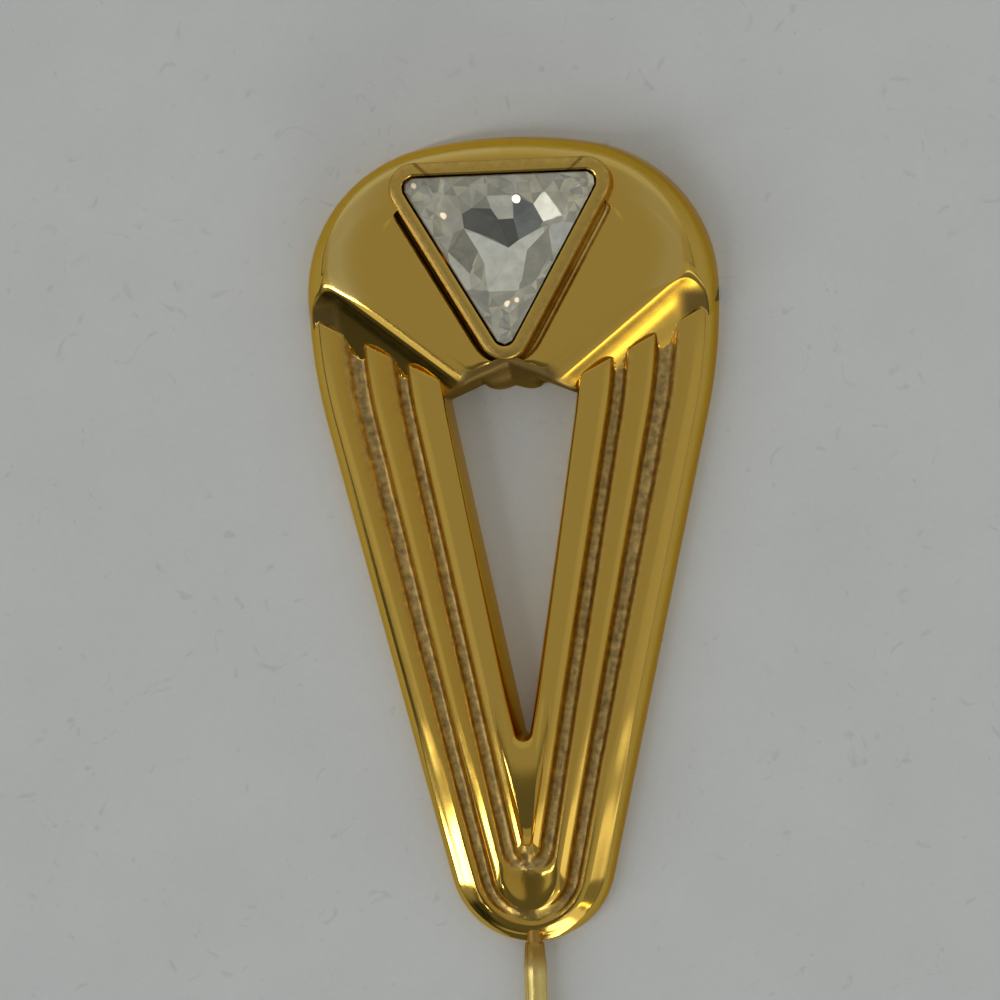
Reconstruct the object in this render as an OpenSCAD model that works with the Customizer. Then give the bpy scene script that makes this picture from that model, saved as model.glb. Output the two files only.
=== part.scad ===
/* [Pin] */
// Length of the whole pin, from the crown of the head to the point
pin_l = 84; // [78:0.5:92]
// Diameter of the stem wire
stem_d = 1.05; // [0.9:0.05:1.1]
// Height of the stem's centre line above the flat back
stem_z = 0.8; // [0.65:0.05:0.85]
// Length of the ground point at the stem's free end
point_l = 5; // [3:0.5:8]
// Diameter of the tang at the stem's upper end, which seats in the head
tang_d = 0.7; // [0.6:0.05:0.7]
// Depth of the drilled socket that takes the tang
socket_l = 4; // [3:0.25:5]
// Gap kept all round a seated piece
seat_gap = 0.04; // [0.02:0.01:0.08]

/* [Head] */
// Length of the cast head, from the crown to the tip
head_l = 39; // [38:0.25:41]
// Width of the head across its shoulders
head_w = 20; // [19.8:0.1:20.4]
// Radius of the crown's top curve
crown_r = 21.7; // [20:0.1:23]
// Radius of the shoulders beside the lobes
shoulder_r = 7.3; // [7:0.1:7.6]
// Height of the lobes at their lip
lip_z = 3.3; // [3:0.1:3.5]
// Height of the lobes where they meet the setting
panel_z = 3.75; // [3.6:0.05:3.9]
// Slope of the lobes' lower edges across the head, in degrees
lobe_slope = 37.4; // [35:0.5:40]

/* [Setting and stone] */
// Side of the triangular stone, measured between its sharp corners
stone_side = 10; // [9.6:0.1:10.2]
// Rounding of the stone's corners
stone_corner = 0.5; // [0.4:0.05:0.7]
// Height of the setting's rim above the back
rim_z = 4.5; // [4.3:0.05:4.7]
// Width of the rim round the stone
rim_w = 0.75; // [0.65:0.05:0.85]
// Width of the channel between the rim and each lobe
channel_w = 0.35; // [0.25:0.05:0.4]
// Thickness of metal left under the stone
floor_t = 0.7; // [0.5:0.05:0.8]

/* [Hidden] */

// The head is drawn with its tip at the origin and its crown towards +Y, and is then moved up
// the pin so that the middle of the whole pin is the origin.
tip_y = pin_l / 2 - head_l;

// Heights above the tip at which the widths of the rails are given
waist_y = 11.75;
shoulder_y = 23.75;

// The ridged U is a fan of rails that nest inside each other. Each row is one rail, from the gap
// outwards, with these columns: half width at the waist, half width at the shoulder, height of
// its lowest point above the tip, its level on the ridges and its level in the valley above them.
WAIST = 0;
SHOULDER = 1;
LOWEST = 2;
LEVEL = 3;
VALLEY = 4;
RAILS = [
    [0.42, 2.72, 10.40, 0.00, 0.00],
    [0.66, 2.84,  9.86, 1.50, 0.90],
    [0.82, 2.92,  9.60, 2.38, 1.18],
    [0.98, 3.06,  9.30, 2.56, 1.20],
    [1.32, 3.50,  7.30, 2.66, 1.20],
    [1.62, 3.92,  5.36, 2.76, 1.20],
    [1.78, 4.12,  4.86, 2.80, 1.20],
    [1.92, 4.24,  4.58, 2.70, 1.20],
    [2.04, 4.36,  4.30, 2.06, 1.20],
    [2.16, 4.46,  4.10, 1.98, 1.20],
    [2.56, 4.84,  3.66, 1.98, 1.20],
    [2.66, 4.94,  3.56, 2.14, 1.20],
    [3.24, 5.76,  2.36, 2.36, 1.20],
    [3.46, 6.06,  2.00, 2.42, 1.20],
    [3.60, 6.18,  1.82, 2.32, 1.20],
    [3.72, 6.30,  1.62, 1.70, 1.20],
    [3.84, 6.40,  1.48, 1.60, 1.20],
    [4.22, 6.92,  1.20, 1.60, 1.20],
    [4.34, 7.04,  1.12, 1.76, 1.20],
    [4.86, 7.74,  0.94, 1.92, 1.20],
    [5.06, 7.98,  0.82, 1.98, 1.22],
    [5.24, 8.16,  0.68, 1.92, 1.32],
    [5.52, 8.40,  0.46, 1.62, 1.48],
    [5.82, 8.66,  0.22, 0.96, 0.96],
    [6.01, 8.90,  0.00, 0.00, 0.00]
];
OUTLINE = RAILS[len(RAILS) - 1];
// How much lower the ridges run at the tip than on the legs
tip_drop = 0.03;

// The ridges end on a line that slopes across each leg, end_y high on the axis, end_rise for
// each millimetre outwards. Each row is a step over a ridge's end: how far past the line it
// lies, and how much of the ridge's height is left there.
end_y = head_l - 13.85;
end_rise = 0.52;
PAST = 0;
LEFT = 1;
ENDS = [
    [-0.34, 1.00],
    [-0.16, 0.93],
    [-0.03, 0.72],
    [0.10, 0.30],
    [0.24, 0.06],
    [0.40, 0.00],
    [1.20, 0.00],
    [2.20, 0.00],
    [3.20, 0.00]
];

// Points along each leg, how much closer together they lie towards its curved upper end, and
// points round half of each rail's turn at the tip
leg_steps = 9;
leg_crowding = 1.6;
turn_steps = 18;

// The dome of the crown and the two lobes is a stack of closed rings. Each row is a ring of its
// wall: how far it lies inside the outline, and its share of the lip's height.
INSET = 0;
SHARE = 1;
WALL_RINGS = [
    [0.00, 0.00],
    [0.17, 0.30],
    [0.30, 0.48],
    [0.46, 0.66],
    [0.62, 0.79],
    [0.80, 0.89],
    [1.00, 0.96],
    [1.22, 1.00]
];
lip_in = WALL_RINGS[len(WALL_RINGS) - 1][INSET];
// Rings of the lobes' top: how far each lies inside the lip, and the share of that by which the
// lower edges draw in
PANEL_RINGS = [0.3, 0.8, 1.5, 2.3, 3.2];
panel_draw = 0.8;
// The lobes' lower edges: inner end, rounding of the inner and the outer end, and how far the
// foot of the edge stands out from its lip
lobe_in = [2.3, head_l - 12.07];
lobe_in_r = 0.5;
lobe_out_r = 1.3;
lobe_foot = 0.4;
// Where the two lobes meet under the setting
lobe_mid_y = head_l - 11.2;

// The setting's centre, and the distance from the centre of the stone to each of its sides
setting_c = [0, head_l - 4.9];
stone_in = stone_side / (2 * sqrt(3));
// The foot of the setting's wall: how far it stands out from the rim, and its height
cup_foot = 0.55;
cup_foot_z = 0.3;
// The wall stands this far out where it reaches the lobes, this far under their top
cup_out = 0.05;
cup_under = 1;
// Points over the rim's round, and round each corner of the setting
rim_steps = 7;
corner_steps = 8;
// The channel: how far its floor reaches under the setting's wall, the depth of that floor and of
// its outer edge under the lobes' top, its widening above, how far its top side stays under the
// setting, and the rounding of its corners
channel_in = 0.1;
channel_floor = 0.6;
channel_edge = 0.1;
channel_flare = 0.1;
channel_top = 0.15;
channel_corner = 0.75;
// The lobes' metal is cut away inside the setting, in the middle of its wall and base
core_out = 0.4;
core_z = 0.6;

// Levels of the stone: table, girdle and point
table_z = rim_z - 0.1;
girdle_z = table_z - 0.75;
girdle_t = 0.12;
point_z = floor_t + 0.25;
// How far the table's edge lies inside the girdle
table_in = 0.95;
// Radius of the stone's point
culet_r = 0.01;
// The facets of the stone's back break on a ring of six points, on its corner lines and its side
// lines: their distances from the centre and their height
break_corner = 2.5;
break_side = 1.35;
break_z = mix(point_z, girdle_z, 0.47);
// The seat under the stone: how far it clears the breaks at its floor and at their height, and
// how much its wall opens towards the rim
seat_floor_out = 0.4;
seat_break_out = 0.5;
seat_draft = 0.06;

// Thickness of the slices that the stone is shaped over
slice_t = 0.001;
// Smallest radius left at a rounded corner
least_r = 0.05;
// Radius of the stem at its ground point
stem_tip_r = 0.05;
// How far the socket's drill starts outside the tip
drill_out = 1;
// Facets round the stem, its tang and the socket
round_facets = 48;

// Smooth step from 0 to 1
function ease(t) = let (u = min(1, max(0, t))) u * u * (3 - 2 * u);
function mix(a, b, t) = a + (b - a) * t;
// Points on an arc. Bearings run clockwise from +Y.
function arc(c, r, a, b, n) = [for (i = [0:n]) let (t = mix(a, b, i / n)) c + r * [sin(t), cos(t)]];
function bearing(v) = atan2(v[0], v[1]);
function after_first(list) = [for (i = [1:len(list) - 1]) list[i]];
// The point at a distance r from c on the line from p along the unit vector v, farther end
function reach(p, v, c, r) =
    let (q = p - c, b = q * v, k = b * b - q * q + r * r) p + v * (sqrt(k) - b);
// A right half outline, from the top to the bottom of the axis, closed by its mirror image
function both_sides(half) =
    let (n = len(half)) concat(half, [for (i = [n - 2:-1:1]) [-half[i][0], half[i][1]]]);
function at_z(pts, z) = [for (p = pts) [p[0], p[1], z]];

// A solid skinned over rings that each have the same number of points
module skin(rings) {
    m = len(rings);
    n = len(rings[0]);
    polyhedron(
        points = [for (r = rings) for (p = r) p],
        faces = concat(
            [[for (i = [n - 1:-1:0]) i]],
            [for (j = [0:m - 2]) for (i = [0:n - 1]) let (k = (i + 1) % n)
                each [[j * n + i, j * n + k, (j + 1) * n + i],
                      [j * n + k, (j + 1) * n + k, (j + 1) * n + i]]],
            [[for (i = [0:n - 1]) (m - 1) * n + i]]
        ),
        convexity = 10
    );
}

// Lines of the rails
function slope(rail) = (rail[SHOULDER] - rail[WAIST]) / (shoulder_y - waist_y);
function lean(rail) = atan(slope(rail));
function apex(rail) = waist_y - rail[WAIST] / slope(rail);
function turn_r(rail) = (rail[LOWEST] - apex(rail)) / (1 / sin(lean(rail)) - 1);
function turn_y(rail) = rail[LOWEST] + turn_r(rail);
function leg_x(rail, y) = rail[WAIST] + slope(rail) * (y - waist_y);
function leg_foot(rail) = turn_y(rail) - turn_r(rail) * sin(lean(rail));
function leg_end(rail) =
    (end_y + end_rise * (rail[WAIST] - slope(rail) * waist_y)) / (1 - end_rise * slope(rail));

// The outline is the crown's curve, a shoulder arc, a long flank arc and the leg's straight line,
// each tangent to the next
half_w = head_w / 2;
crown_c = [0, head_l - crown_r];
shoulder_x = half_w - shoulder_r;
shoulder_c = [shoulder_x,
              crown_c[1] + sqrt(pow(crown_r - shoulder_r, 2) - shoulder_x * shoulder_x)];
leg_n = [cos(lean(OUTLINE)), -sin(lean(OUTLINE))];
flank_r = leg_n * ([OUTLINE[WAIST], waist_y] - [half_w, shoulder_c[1]]) / (1 - leg_n[0]);
flank_foot = shoulder_c[1] + flank_r * leg_n[1];
function arc_x(cx, cy, r, y) = cx + sqrt(r * r - (y - cy) * (y - cy));
// How far the outline has bent in from the leg's line at a height y
function bend(y) = y < flank_foot ? 0 : leg_x(OUTLINE, y)
    - (y < shoulder_c[1] ? arc_x(half_w - flank_r, shoulder_c[1], flank_r, y)
                         : arc_x(shoulder_x, shoulder_c[1], shoulder_r, y));

// The rails keep this far inside the dome's wall where they run under it, more than under_past
// beyond the ridges' ends
under_dome = 0.03;
under_past = 1;
function level(rail, y) = rail[LEVEL] * (1 - tip_drop * (1 - ease(y / waist_y)));
// One rail of the right half, from the tip to its end under the lobe
function rail_points(rail) =
    let (r = turn_r(rail), c = turn_y(rail), f = leg_foot(rail), e = leg_end(rail))
    concat(
        [for (i = [0:turn_steps]) let (a = i / turn_steps * (90 - lean(rail)), y = c - r * cos(a))
            [r * sin(a), y, level(rail, y)]],
        [for (i = [1:leg_steps - 1])
            let (y = mix(f, e + ENDS[0][PAST], 1 - pow(1 - i / leg_steps, leg_crowding)))
            [leg_x(rail, y) - bend(y), y, level(rail, y)]],
        [for (s = ENDS) let (y = e + s[PAST])
            [leg_x(rail, y) - bend(y) - (s[PAST] > under_past ? under_dome : 0), y,
             mix(rail[VALLEY], level(rail, y), s[LEFT])]]
    );

// The stepped U of ridges
module ridges() {
    lines = [for (rail = RAILS) rail_points(rail)];
    n = len(lines[0]);
    right = [for (j = [n - 1:-1:0]) [for (line = lines) line[j]]];
    left = [for (j = [1:n - 1]) [for (line = lines) [-line[j][0], line[j][1], line[j][2]]]];
    skin(concat(right, left));
}

// A closed ring of the dome, d inside the outline and its lower edges e outside their lip
function dome_ring(d, e) =
    let (
        edge_n = [sin(lobe_slope), -cos(lobe_slope)],
        edge_v = [cos(lobe_slope), sin(lobe_slope)],
        inner = lobe_in + e * edge_n,
        out_c = reach(inner - lobe_out_r * edge_n, edge_v, shoulder_c,
                      shoulder_r - d - lobe_out_r),
        top_t = bearing(shoulder_c - crown_c),
        out_t = bearing(out_c - shoulder_c),
        edge_t = bearing(edge_n),
        mid = [0, lobe_mid_y - e],
        mid_t = 180 + atan((mid[1] - inner[1]) / inner[0]),
        half_t = (mid_t - edge_t) / 2,
        in_c = inner - lobe_in_r / cos(half_t) * [sin(edge_t + half_t), cos(edge_t + half_t)]
    )
    both_sides(concat(
        arc(crown_c, crown_r - d, 0, top_t, 6),
        after_first(arc(shoulder_c, shoulder_r - d, top_t, out_t, 22)),
        after_first(arc(out_c, lobe_out_r, out_t, edge_t, 7)),
        [for (i = [1:3]) mix(out_c + lobe_out_r * edge_n, in_c + lobe_in_r * edge_n, i / 4)],
        arc(in_c, lobe_in_r, edge_t, mid_t, 4),
        [mid]
    ));

// The crown and the two lobes, a dome over the upper end of the U
module dome() {
    walls = [for (w = WALL_RINGS)
        at_z(dome_ring(w[INSET], lobe_foot * (1 - w[INSET] / lip_in)), lip_z * w[SHARE])];
    last = PANEL_RINGS[len(PANEL_RINGS) - 1];
    panels = [for (d = PANEL_RINGS)
        at_z(dome_ring(lip_in + d, -panel_draw * d), mix(lip_z, panel_z, sin(90 * d / last)))];
    skin(concat(walls, panels));
}

// A rounded triangle that points down, o outside the stone's edge
function triangle(o, flat = 0, steps = corner_steps, corner = stone_corner) =
    let (
        inner_r = stone_in - corner + min(0, corner + o - least_r),
        r = max(least_r, corner + o)
    )
    [for (k = [0:2]) let (t = 60 + 120 * k)
        each arc(setting_c + 2 * inner_r * [sin(t), cos(t)] - [0, k == 1 ? 0 : flat],
                 r, t - 60, t + 60, steps)];

// The setting: a cup whose rim is rounded over, with the hollow that the stone sits in
module setting() {
    g = seat_gap;
    seat_top = g + seat_draft;
    w = (rim_w - seat_top) / 2;
    skin(concat(
        [at_z(triangle(rim_w + cup_foot), cup_foot_z)],
        [at_z(triangle(rim_w + cup_out), panel_z - cup_under)],
        [for (i = [0:rim_steps]) let (t = 180 * i / rim_steps)
            at_z(triangle(seat_top + w + w * cos(t)), rim_z - w * (1 - sin(t)))],
        [at_z(triangle(g), girdle_z + girdle_t)],
        [at_z(triangle(g), girdle_z - g)],
        [at_z(triangle(break_side - stone_in + seat_break_out), break_z - g)],
        [at_z(triangle(break_side - stone_in + seat_floor_out), point_z - g)]
    ));
}

// The channel that frees the rim from the lobes on two sides
module channel() {
    outer = rim_w + channel_w;
    drop = channel_w + channel_top;
    c = channel_corner;
    skin([
        at_z(triangle(rim_w - channel_in, channel_top, corner_steps, c), panel_z - channel_floor),
        at_z(triangle(outer, drop, corner_steps, c), panel_z - channel_edge),
        at_z(triangle(outer + channel_flare, drop + channel_flare, corner_steps, c), rim_z)
    ]);
}

// The middle of the dome, cut away where the setting goes in
module core() {
    skin([at_z(triangle(core_out), core_z), at_z(triangle(core_out), rim_z)]);
}

// The drilled socket for the stem's tang, in the tip
module socket() {
    translate([0, -drill_out, stem_z])
    rotate([-90, 0, 0])
    cylinder(h = socket_l + drill_out, d = tang_d + 2 * seat_gap, $fn = round_facets);
}

// The casting as it leaves the mould, brought to its full size
module casting() {
    resize([head_w, head_l, rim_z])
    difference() {
        union() {
            ridges();
            difference() {
                dome();
                channel();
                core();
            }
            setting();
        }
        socket();
    }
}

module head() {
    color("#a8842c")
    translate([0, tip_y, 0])
    casting();
}

// A thin slice of the stone, used as one level of its facets
module slice(pts, z) {
    translate([0, 0, z])
    linear_extrude(height = slice_t)
    polygon(pts);
}

// The cut stone: a table, a bevelled crown and a pointed back that breaks once
module stone() {
    breaks = [for (k = [0:2]) let (t = 60 + 120 * k)
        each [setting_c + break_corner * [sin(t), cos(t)],
              setting_c + break_side * [sin(t + 60), cos(t + 60)]]];
    point = [for (k = [0:2]) setting_c + culet_r * [sin(120 * k), cos(120 * k)]];
    color("#c9ccce")
    translate([0, tip_y, 0])
    hull() {
        slice(triangle(-table_in, 0, 1), table_z);
        slice(triangle(0, 0, 2), girdle_z + girdle_t);
        slice(triangle(0, 0, 2), girdle_z);
        slice(breaks, break_z);
        slice(point, point_z);
    }
}

// The stem: a ground point, the wire, and the tang that it is turned down to
module pin_stem() {
    wire_l = pin_l - head_l - point_l - seat_gap;
    color("#b08f3c")
    translate([0, -pin_l / 2, stem_z])
    rotate([-90, 0, 0]) {
        cylinder(h = point_l, r1 = stem_tip_r, r2 = stem_d / 2, $fn = round_facets);
        translate([0, 0, point_l])
        cylinder(h = wire_l, d = stem_d, $fn = round_facets);
        translate([0, 0, point_l + wire_l])
        cylinder(h = socket_l, d = tang_d, $fn = round_facets);
    }
}

head();
stone();
pin_stem();
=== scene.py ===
import math

import bpy
import numpy as np
from mathutils import Matrix, Vector, geometry, kdtree


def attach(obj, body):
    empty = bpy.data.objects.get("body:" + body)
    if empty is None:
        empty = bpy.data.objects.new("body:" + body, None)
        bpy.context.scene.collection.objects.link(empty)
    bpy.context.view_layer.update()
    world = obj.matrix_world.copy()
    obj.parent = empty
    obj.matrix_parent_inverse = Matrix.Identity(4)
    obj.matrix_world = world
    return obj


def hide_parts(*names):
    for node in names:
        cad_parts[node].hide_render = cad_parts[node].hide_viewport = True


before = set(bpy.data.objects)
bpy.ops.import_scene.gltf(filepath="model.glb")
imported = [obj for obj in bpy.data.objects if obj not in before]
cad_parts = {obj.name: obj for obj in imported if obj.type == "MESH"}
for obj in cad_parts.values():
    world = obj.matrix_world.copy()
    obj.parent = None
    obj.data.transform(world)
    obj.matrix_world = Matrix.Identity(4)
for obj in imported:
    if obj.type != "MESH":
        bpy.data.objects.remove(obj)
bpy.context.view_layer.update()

# The head's stepped U. The head is one casting in zinc alloy, polished and gilt. Three ridges
# nest round a narrow gap and step down outwards; each has a polished crest along its outer edge
# and an as-cast groove beyond it. Sizes here are millimetres, with the head's tip at Y = 0.
MM = 0.001
TIP_Y = 3.0
HEAD_L = 39.0
HEAD_W = 20.0
WAIST_Y = 11.75
SHOULDER_Y = 23.75

# One row for each line along the U, from the gap outwards: half width at the waist and at the
# shoulder, lowest point, height on the legs, height at the tip, height in the hollow above the
# ridges' ends, how rough the casting was left there, how much painted orange reflection its
# gilding gets, and how much lower the polishing took it near the tip
RAILS = np.array([
    [0.42, 2.70, 10.12, 0.00, 0.00, 0.00, 0.0, 0.0, 0.00],
    [0.50, 2.71,  9.98, 1.30, 1.30, 0.90, 0.0, 0.0, 0.00],
    [0.62, 2.73,  9.86, 2.20, 2.20, 1.16, 0.0, 0.0, 0.00],
    [0.74, 2.78,  9.74, 2.52, 2.52, 1.20, 0.0, 0.1, 0.00],
    [0.92, 2.92,  9.50, 2.68, 2.68, 1.20, 0.0, 0.1, 0.00],
    [1.12, 3.14,  8.60, 2.73, 2.73, 1.20, 0.0, 0.0, 0.00],
    [1.46, 3.74,  5.05, 2.75, 2.70, 1.20, 0.0, 0.0, 0.05],
    [1.62, 3.93,  4.66, 2.72, 2.67, 1.20, 0.0, 0.0, 0.09],
    [1.78, 4.10,  4.42, 2.66, 2.62, 1.20, 0.0, 0.0, 0.11],
    [1.90, 4.22,  4.24, 2.58, 2.55, 1.20, 0.0, 0.0, 0.11],
    [1.97, 4.29,  4.12, 2.44, 2.48, 1.20, 0.0, 0.0, 0.08],
    [2.04, 4.36,  4.01, 2.12, 2.41, 1.20, 0.7, 0.0, 0.00],
    [2.16, 4.46,  3.89, 1.96, 2.35, 1.20, 0.9, 0.0, 0.00],
    [2.36, 4.66,  3.73, 1.93, 2.29, 1.20, 1.0, 0.0, 0.00],
    [2.54, 4.84,  3.58, 1.97, 2.24, 1.20, 1.0, 0.1, 0.00],
    [2.63, 4.93,  3.48, 2.12, 2.21, 1.20, 0.9, 0.2, 0.00],
    [2.71, 5.02,  3.36, 2.29, 2.19, 1.20, 0.6, 0.5, 0.00],
    [2.82, 5.16,  3.18, 2.35, 2.17, 1.20, 0.1, 1.0, 0.00],
    [3.16, 5.62,  2.46, 2.37, 2.06, 1.20, 0.0, 0.7, 0.05],
    [3.32, 5.86,  2.12, 2.35, 2.03, 1.20, 0.0, 0.1, 0.09],
    [3.46, 6.03,  1.90, 2.30, 2.00, 1.20, 0.0, 0.0, 0.12],
    [3.58, 6.16,  1.72, 2.21, 1.95, 1.20, 0.0, 0.0, 0.12],
    [3.65, 6.23,  1.64, 2.06, 1.94, 1.20, 0.1, 0.0, 0.08],
    [3.72, 6.30,  1.56, 1.74, 1.91, 1.20, 0.8, 0.0, 0.00],
    [3.84, 6.42,  1.46, 1.58, 1.87, 1.20, 1.0, 0.0, 0.00],
    [4.04, 6.66,  1.32, 1.56, 1.81, 1.20, 1.0, 0.0, 0.00],
    [4.26, 6.94,  1.19, 1.60, 1.76, 1.20, 1.0, 0.2, 0.00],
    [4.34, 7.04,  1.12, 1.74, 1.73, 1.20, 0.9, 0.2, 0.00],
    [4.42, 7.16,  1.06, 1.88, 1.71, 1.20, 0.6, 0.5, 0.00],
    [4.54, 7.32,  1.00, 1.94, 1.70, 1.20, 0.1, 1.0, 0.00],
    [4.76, 7.62,  0.88, 1.96, 1.68, 1.20, 0.0, 0.5, 0.04],
    [4.94, 7.84,  0.77, 1.95, 1.66, 1.20, 0.0, 0.0, 0.08],
    [5.10, 8.02,  0.68, 1.90, 1.61, 1.20, 0.0, 0.0, 0.10],
    [5.28, 8.20,  0.56, 1.80, 1.53, 1.22, 0.0, 0.0, 0.10],
    [5.46, 8.36,  0.43, 1.66, 1.43, 1.37, 0.0, 0.0, 0.08],
    [5.54, 8.43,  0.38, 1.60, 1.38, 1.42, 0.0, 0.0, 0.06],
    [5.64, 8.52,  0.30, 1.48, 1.31, 1.40, 0.0, 0.0, 0.00],
    [5.74, 8.62,  0.22, 1.33, 1.23, 1.30, 0.0, 0.0, 0.00],
    [5.85, 8.72,  0.14, 1.12, 1.13, 1.12, 0.0, 0.0, 0.00],
    [5.96, 8.84,  0.05, 0.66, 0.97, 0.66, 0.0, 0.0, 0.00],
    [6.01, 8.90,  0.00, 0.00, 0.00, 0.00, 0.0, 0.0, 0.00],
])


def rounded(rows, times=2):
    """The same run of rows with its corners cut, so that a profile turns in small steps."""
    rows = np.asarray(rows, float)
    for _ in range(times):
        before, after = rows[:-1], rows[1:]
        cut = np.empty((2 * len(before), rows.shape[1]))
        cut[0::2] = 0.75 * before + 0.25 * after
        cut[1::2] = 0.25 * before + 0.75 * after
        rows = np.vstack([rows[:1], cut, rows[-1:]])
    return rows


def ease(t):
    t = np.clip(t, 0.0, 1.0)
    return t * t * (3 - 2 * t)


def droop(y, half_width):
    """How far the ridges come down towards the tip; the outermost one starts further down."""
    down = np.clip(9.2 - 1.2 * ease((half_width - 4.2) / 0.9) - y, 0, None)
    return 0.0104 * np.minimum(down, 3.4) ** 2 + 0.0707 * np.clip(down - 3.4, 0, None)


def slope_of(rail):
    return (rail[1] - rail[0]) / (SHOULDER_Y - WAIST_Y)


# The outline: the crown's curve, a shoulder arc, a long flank arc and the leg's straight line
CROWN_R = 21.7
SHOULDER_R = 7.3
crown_c = np.array([0.0, HEAD_L - CROWN_R])
shoulder_x = HEAD_W / 2 - SHOULDER_R
shoulder_c = np.array([
    shoulder_x,
    crown_c[1] + math.sqrt((CROWN_R - SHOULDER_R) ** 2 - shoulder_x ** 2),
])
outline = RAILS[-1]
outline_lean = math.atan(slope_of(outline))
flank_r = (
    math.cos(outline_lean) * (outline[0] - HEAD_W / 2)
    - math.sin(outline_lean) * (WAIST_Y - shoulder_c[1])
) / (1 - math.cos(outline_lean))
flank_foot = shoulder_c[1] - flank_r * math.sin(outline_lean)


def bend(y):
    """How far the outline has bent in from the leg's straight line at each height."""
    straight = outline[0] + slope_of(outline) * (y - WAIST_Y)
    up = y - shoulder_c[1]
    flank = HEAD_W / 2 - flank_r + np.sqrt(np.maximum(flank_r ** 2 - up ** 2, 0))
    shoulder = shoulder_x + np.sqrt(np.maximum(SHOULDER_R ** 2 - up ** 2, 0))
    return np.where(y < flank_foot, 0.0, straight - np.where(up < 0, flank, shoulder))


# Over a ridge's end: how far past its line, and how much of the ridge's height is left
END_Y = HEAD_L - 13.30
END_RISE = 0.47
over_the_end = rounded([
    [-0.60, 1.00], [-0.14, 1.00], [-0.05, 0.985], [0.0, 0.95], [0.012, 0.50], [0.024, 0.05],
    [0.04, 0.00], [0.40, 0.00], [1.20, 0.00], [2.20, 0.00], [3.20, 0.00],
], 2)
TURN_STEPS = 44
LEG_STEPS = 78


def rail_points(rail):
    """One line of the right half of the U, from the tip to its end under the lobe.

    Each point has its place, how rough it is, and its share of painted reflection and painted
    shade.
    """
    waist, _, lowest, leg_z, tip_z, hollow_z, cast, painted_warm_reflection, polished = rail
    slope = slope_of(rail)
    lean = math.atan(slope)
    apex = WAIST_Y - waist / slope
    turn_r = (lowest - apex) / (1 / math.sin(lean) - 1)
    turn_y = lowest + turn_r
    foot = turn_y - turn_r * math.sin(lean)
    end = (END_Y + END_RISE * (waist - slope * WAIST_Y)) / (1 - END_RISE * slope)
    a = np.linspace(0, math.pi / 2 - lean, TURN_STEPS + 1)
    turn = np.column_stack([turn_r * np.sin(a), turn_y - turn_r * np.cos(a)])
    y = np.linspace(foot, end + over_the_end[0][0], LEG_STEPS + 1)[1:-1]
    leg = np.column_stack([waist + slope * (y - WAIST_Y) - bend(y), y])
    y = end + over_the_end[:, 0]
    under = 0.03 * (over_the_end[:, 0] > 1)
    past = np.column_stack([waist + slope * (y - WAIST_Y) - bend(y) - under, y])
    plan = np.vstack([turn, leg, past])
    low = np.concatenate([ease(1 - 1.15 * a / a[-1]), np.zeros(len(leg) + len(past))])
    fall = droop(plan[:, 1], waist) * min(1, leg_z / 1.5)
    leg_z = leg_z - polished * ease((11.5 - plan[:, 1]) / 4)
    ridge = leg_z + (tip_z - leg_z) * low - fall
    left = np.concatenate([np.ones(len(turn) + len(leg)), over_the_end[:, 1]])
    matt = 0.6 * low * (1.55 < waist < 2.5)
    rough = cast * left * (1 - 0.6 * low) + 2.0 * left * (1 - left) + matt
    z = hollow_z + (ridge - hollow_z) * left
    # The painted shade rises past the ridge's end, into the hollow under the lobe.
    return np.column_stack([plan, z, rough, painted_warm_reflection * left, 1 - left ** 3])


def lumps(x, y, size, seed):
    """Smooth random heights between -1 and 1 over a plan, with lumps of about one size."""
    table = np.random.default_rng(seed).uniform(-1, 1, (97, 97))
    u, v = x / size, y / size
    i, j = np.floor(u).astype(int), np.floor(v).astype(int)
    s, t = ease(u - i), ease(v - j)
    near = table[i % 97, j % 97] * (1 - s) + table[(i + 1) % 97, j % 97] * s
    far = table[i % 97, (j + 1) % 97] * (1 - s) + table[(i + 1) % 97, (j + 1) % 97] * s
    return near * (1 - t) + far * t


def skinned(name, rings):
    """A closed solid over rings that each have the same number of points."""
    count, size = rings.shape[:2]
    points = rings.reshape(-1, 3) * MM
    points[:, 1] += TIP_Y * MM
    faces = [list(range(size))]
    for ring in range(count - 1):
        for i in range(size):
            k = (i + 1) % size
            a, b = ring * size, (ring + 1) * size
            faces.append([a + i, b + i, b + k, a + k])
    faces.append([(count - 1) * size + i for i in range(size)][::-1])
    mesh = bpy.data.meshes.new(name)
    mesh.from_pydata(points.tolist(), [], faces)
    mesh.validate()
    made = bpy.data.objects.new(name, mesh)
    bpy.context.collection.objects.link(made)
    return made


# Lines that would lie closer together than this are left out
LEAST_STEP = 0.045
fine_rows = rounded(RAILS, 2)
rails = [fine_rows[0]]
for row in fine_rows[1:-1]:
    if math.hypot(row[0] - rails[-1][0], row[3] - rails[-1][3]) > LEAST_STEP:
        rails.append(row)
rails = np.array([*rails, fine_rows[-1]])
lines = np.array([rail_points(rail) for rail in rails])
# Inside the first ridge's crest the metal is dished, ever deeper towards the gap's foot
crest = lines[np.argmin(abs(rails[:, 0] - 1.60))]
for rail, line in zip(rails, lines):
    if 0.6 < rail[0] < 1.6:
        away = np.hypot(line[:, 0] - crest[:, 0], line[:, 1] - crest[:, 1])
        deep = 0.058 * np.clip(11.9 - line[:, 1], 0, None) * ease((12.6 - line[:, 1]) / 1.4)
        line[:, 2] -= deep * ease(away / 0.32) * ease((rail[0] - 0.62) / 0.25)
right = lines.transpose(1, 0, 2)
left = right[1:].copy()
left[:, :, 0] *= -1
sections = np.concatenate([right[::-1], left])
pits = lumps(sections[..., 0], sections[..., 1], 0.31, 5) + 0.6 * lumps(
    sections[..., 0], sections[..., 1], 0.15, 6)
sections[..., 2] += 0.03 * pits * sections[..., 3]
ridges = skinned("ridges", sections[..., :3])

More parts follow.
